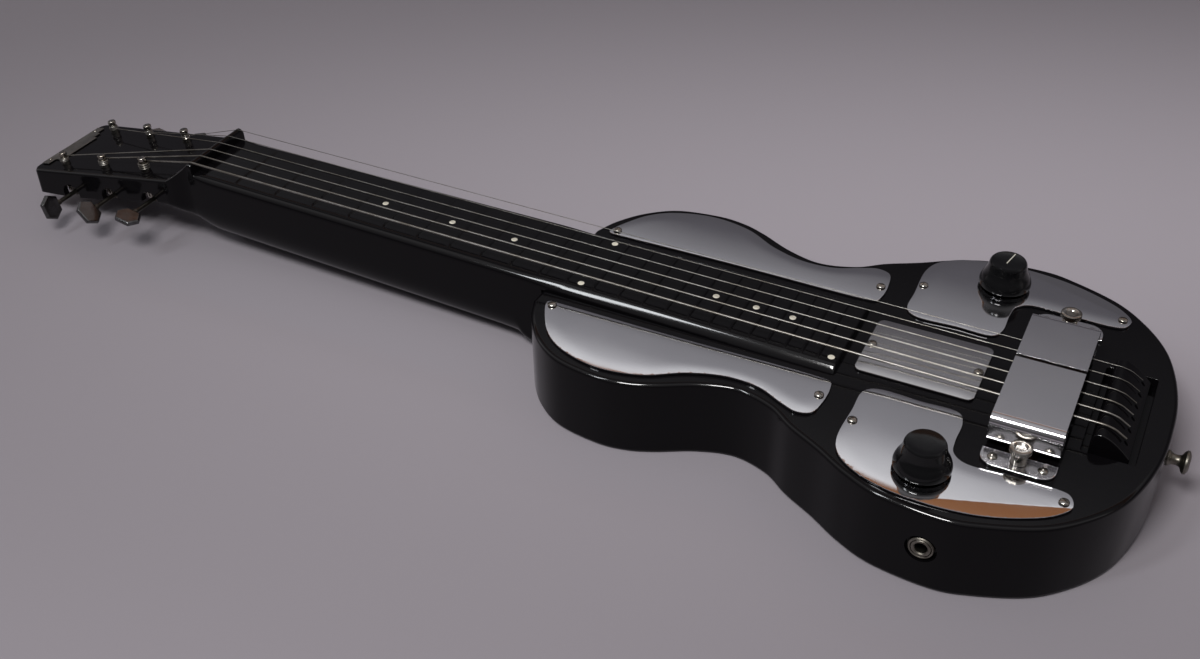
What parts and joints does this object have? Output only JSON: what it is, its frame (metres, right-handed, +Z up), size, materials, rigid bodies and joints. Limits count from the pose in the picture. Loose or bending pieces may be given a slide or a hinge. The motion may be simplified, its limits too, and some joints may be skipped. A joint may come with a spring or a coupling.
{
  "type": "lap steel guitar",
  "caption": "Electric lap steel guitar: moulded black body and neck, chromed cover plates, horseshoe-magnet pickup, two knobs, geared tuners and a moulded bridge.",
  "frame": {"origin": "middle of the footprint, on the floor that the body rests on", "axes": "+X from the head to the tail, +Z up out of the fretboard, -Y the side of the heaviest string and the jack"},
  "size_m": [0.7448, 0.224, 0.0676],
  "materials": {
    "phenolic": "moulded black phenolic, polished",
    "chrome": "chromed sheet, bright",
    "nickel": "aged nickel plate",
    "steel": "plain steel",
    "string_wire": "steel wire, the three heavy ones wound",
    "knob_plastic": "moulded black plastic",
    "nameplate_metal": "dull grey-green plated metal",
    "bobbin_board": "brown fibre board",
    "coil_copper": "enamelled copper wire",
    "capacitor_paper": "waxed paper"
  },
  "bodies": {
    "root": {"body_shell": "phenolic", "neck": "phenolic", "bridge": "phenolic", "upper_plate_near": "chrome", "upper_plate_far": "chrome", "lower_plate_near": "chrome", "lower_plate_far": "chrome", "center_plate": "chrome", "pickup_ear_near": "chrome", "pickup_ear_far": "chrome", "end_pin": "nickel", "tuner_plate_near": "nickel", "tuner_plate_far": "nickel", "upper_plate_screw_1": "nickel", "upper_plate_screw_2": "nickel", "upper_plate_screw_3": "nickel", "upper_plate_screw_4": "nickel", "lower_plate_screw_1": "nickel", "lower_plate_screw_2": "nickel", "lower_plate_screw_3": "nickel", "lower_plate_screw_4": "nickel", "center_plate_screw_1": "nickel", "center_plate_screw_2": "nickel", "neck_screw_front": "steel", "neck_screw_rear": "steel", "volume_pot": "steel", "tone_pot": "steel", "output_jack": "steel", "jack_nut": "steel", "string_1": "string_wire", "string_2": "string_wire", "string_3": "string_wire", "string_4": "string_wire", "string_5": "string_wire", "string_6": "string_wire", "nameplate": "nameplate_metal", "tone_capacitor": "capacitor_paper"},
    "volume_control": {"volume_knob": "knob_plastic", "volume_shaft": "steel"},
    "tone_control": {"tone_knob": "knob_plastic", "tone_shaft": "steel"},
    "pickup": {"pickup_bobbin": "bobbin_board", "pickup_winding": "coil_copper", "pole_bar": "steel", "pickup_magnet_near": "chrome", "pickup_magnet_far": "chrome"},
    "thumbscrew_near": {"thumbscrew_near": "nickel"},
    "thumbscrew_far": {"thumbscrew_far": "nickel"},
    "key_1": {"tuner_key_1": "nickel"},
    "post_1": {"tuner_post_1": "nickel"},
    "key_2": {"tuner_key_2": "nickel"},
    "post_2": {"tuner_post_2": "nickel"},
    "key_3": {"tuner_key_3": "nickel"},
    "post_3": {"tuner_post_3": "nickel"},
    "key_4": {"tuner_key_4": "nickel"},
    "post_4": {"tuner_post_4": "nickel"},
    "key_5": {"tuner_key_5": "nickel"},
    "post_5": {"tuner_post_5": "nickel"},
    "key_6": {"tuner_key_6": "nickel"},
    "post_6": {"tuner_post_6": "nickel"}
  },
  "joints": [
    {"name": "volume_turn", "type": "hinge", "parent": "root", "child": "volume_control", "pos_m": [0.25589, -0.084, 0.048], "axis": [0, 0, 1], "range_deg": [-150, 150]},
    {"name": "tone_turn", "type": "hinge", "parent": "root", "child": "tone_control", "pos_m": [0.25589, 0.084, 0.048], "axis": [0, 0, 1], "range_deg": [-150, 150]},
    {"name": "pickup_height", "type": "slide", "parent": "root", "child": "pickup", "axis": [0, 0, 1], "range_m": [-0.002, 0.002]},
    {"name": "thumbscrew_near_turn", "type": "hinge", "parent": "root", "child": "thumbscrew_near", "pos_m": [0.29662, -0.0598, 0.048], "axis": [0, 0, 1], "range_deg": [-900, 900]},
    {"name": "thumbscrew_far_turn", "type": "hinge", "parent": "root", "child": "thumbscrew_far", "pos_m": [0.29662, 0.0598, 0.048], "axis": [0, 0, 1], "range_deg": [-900, 900]},
    {"name": "key_1_turn", "type": "hinge", "parent": "root", "child": "key_1", "pos_m": [-0.27199, -0.0208, 0.03243], "axis": [0, -1, 0], "continuous": true},
    {"name": "post_1_turn", "type": "hinge", "parent": "root", "child": "post_1", "pos_m": [-0.2815, -0.0208, 0.04762], "axis": [-0.1578, 0, 0.9875], "continuous": true},
    {"name": "key_2_turn", "type": "hinge", "parent": "root", "child": "key_2", "pos_m": [-0.30675, -0.02237, 0.02687], "axis": [0, -1, 0], "continuous": true},
    {"name": "post_2_turn", "type": "hinge", "parent": "root", "child": "post_2", "pos_m": [-0.31626, -0.02237, 0.04206], "axis": [-0.1578, 0, 0.9875], "continuous": true},
    {"name": "key_3_turn", "type": "hinge", "parent": "root", "child": "key_3", "pos_m": [-0.34151, -0.02394, 0.02132], "axis": [0, -1, 0], "continuous": true},
    {"name": "post_3_turn", "type": "hinge", "parent": "root", "child": "post_3", "pos_m": [-0.35102, -0.02394, 0.03651], "axis": [-0.1578, 0, 0.9875], "continuous": true},
    {"name": "key_4_turn", "type": "hinge", "parent": "root", "child": "key_4", "pos_m": [-0.34151, 0.02394, 0.02132], "axis": [0, 1, 0], "continuous": true},
    {"name": "post_4_turn", "type": "hinge", "parent": "root", "child": "post_4", "pos_m": [-0.35102, 0.02394, 0.03651], "axis": [-0.1578, 0, 0.9875], "continuous": true},
    {"name": "key_5_turn", "type": "hinge", "parent": "root", "child": "key_5", "pos_m": [-0.30675, 0.02237, 0.02687], "axis": [0, 1, 0], "continuous": true},
    {"name": "post_5_turn", "type": "hinge", "parent": "root", "child": "post_5", "pos_m": [-0.31626, 0.02237, 0.04206], "axis": [-0.1578, 0, 0.9875], "continuous": true},
    {"name": "key_6_turn", "type": "hinge", "parent": "root", "child": "key_6", "pos_m": [-0.27199, 0.0208, 0.03243], "axis": [0, 1, 0], "continuous": true},
    {"name": "post_6_turn", "type": "hinge", "parent": "root", "child": "post_6", "pos_m": [-0.2815, 0.0208, 0.04762], "axis": [-0.1578, 0, 0.9875], "continuous": true}
  ],
  "couplings": [
    {"joint": "thumbscrew_near_turn", "follows": "pickup_height", "rad_per_m": 7854},
    {"joint": "thumbscrew_far_turn", "follows": "pickup_height", "rad_per_m": 7854},
    {"joint": "post_1_turn", "follows": "key_1_turn", "ratio": 0.071429},
    {"joint": "post_2_turn", "follows": "key_2_turn", "ratio": 0.071429},
    {"joint": "post_3_turn", "follows": "key_3_turn", "ratio": 0.071429},
    {"joint": "post_4_turn", "follows": "key_4_turn", "ratio": 0.071429},
    {"joint": "post_5_turn", "follows": "key_5_turn", "ratio": 0.071429},
    {"joint": "post_6_turn", "follows": "key_6_turn", "ratio": 0.071429}
  ]
}
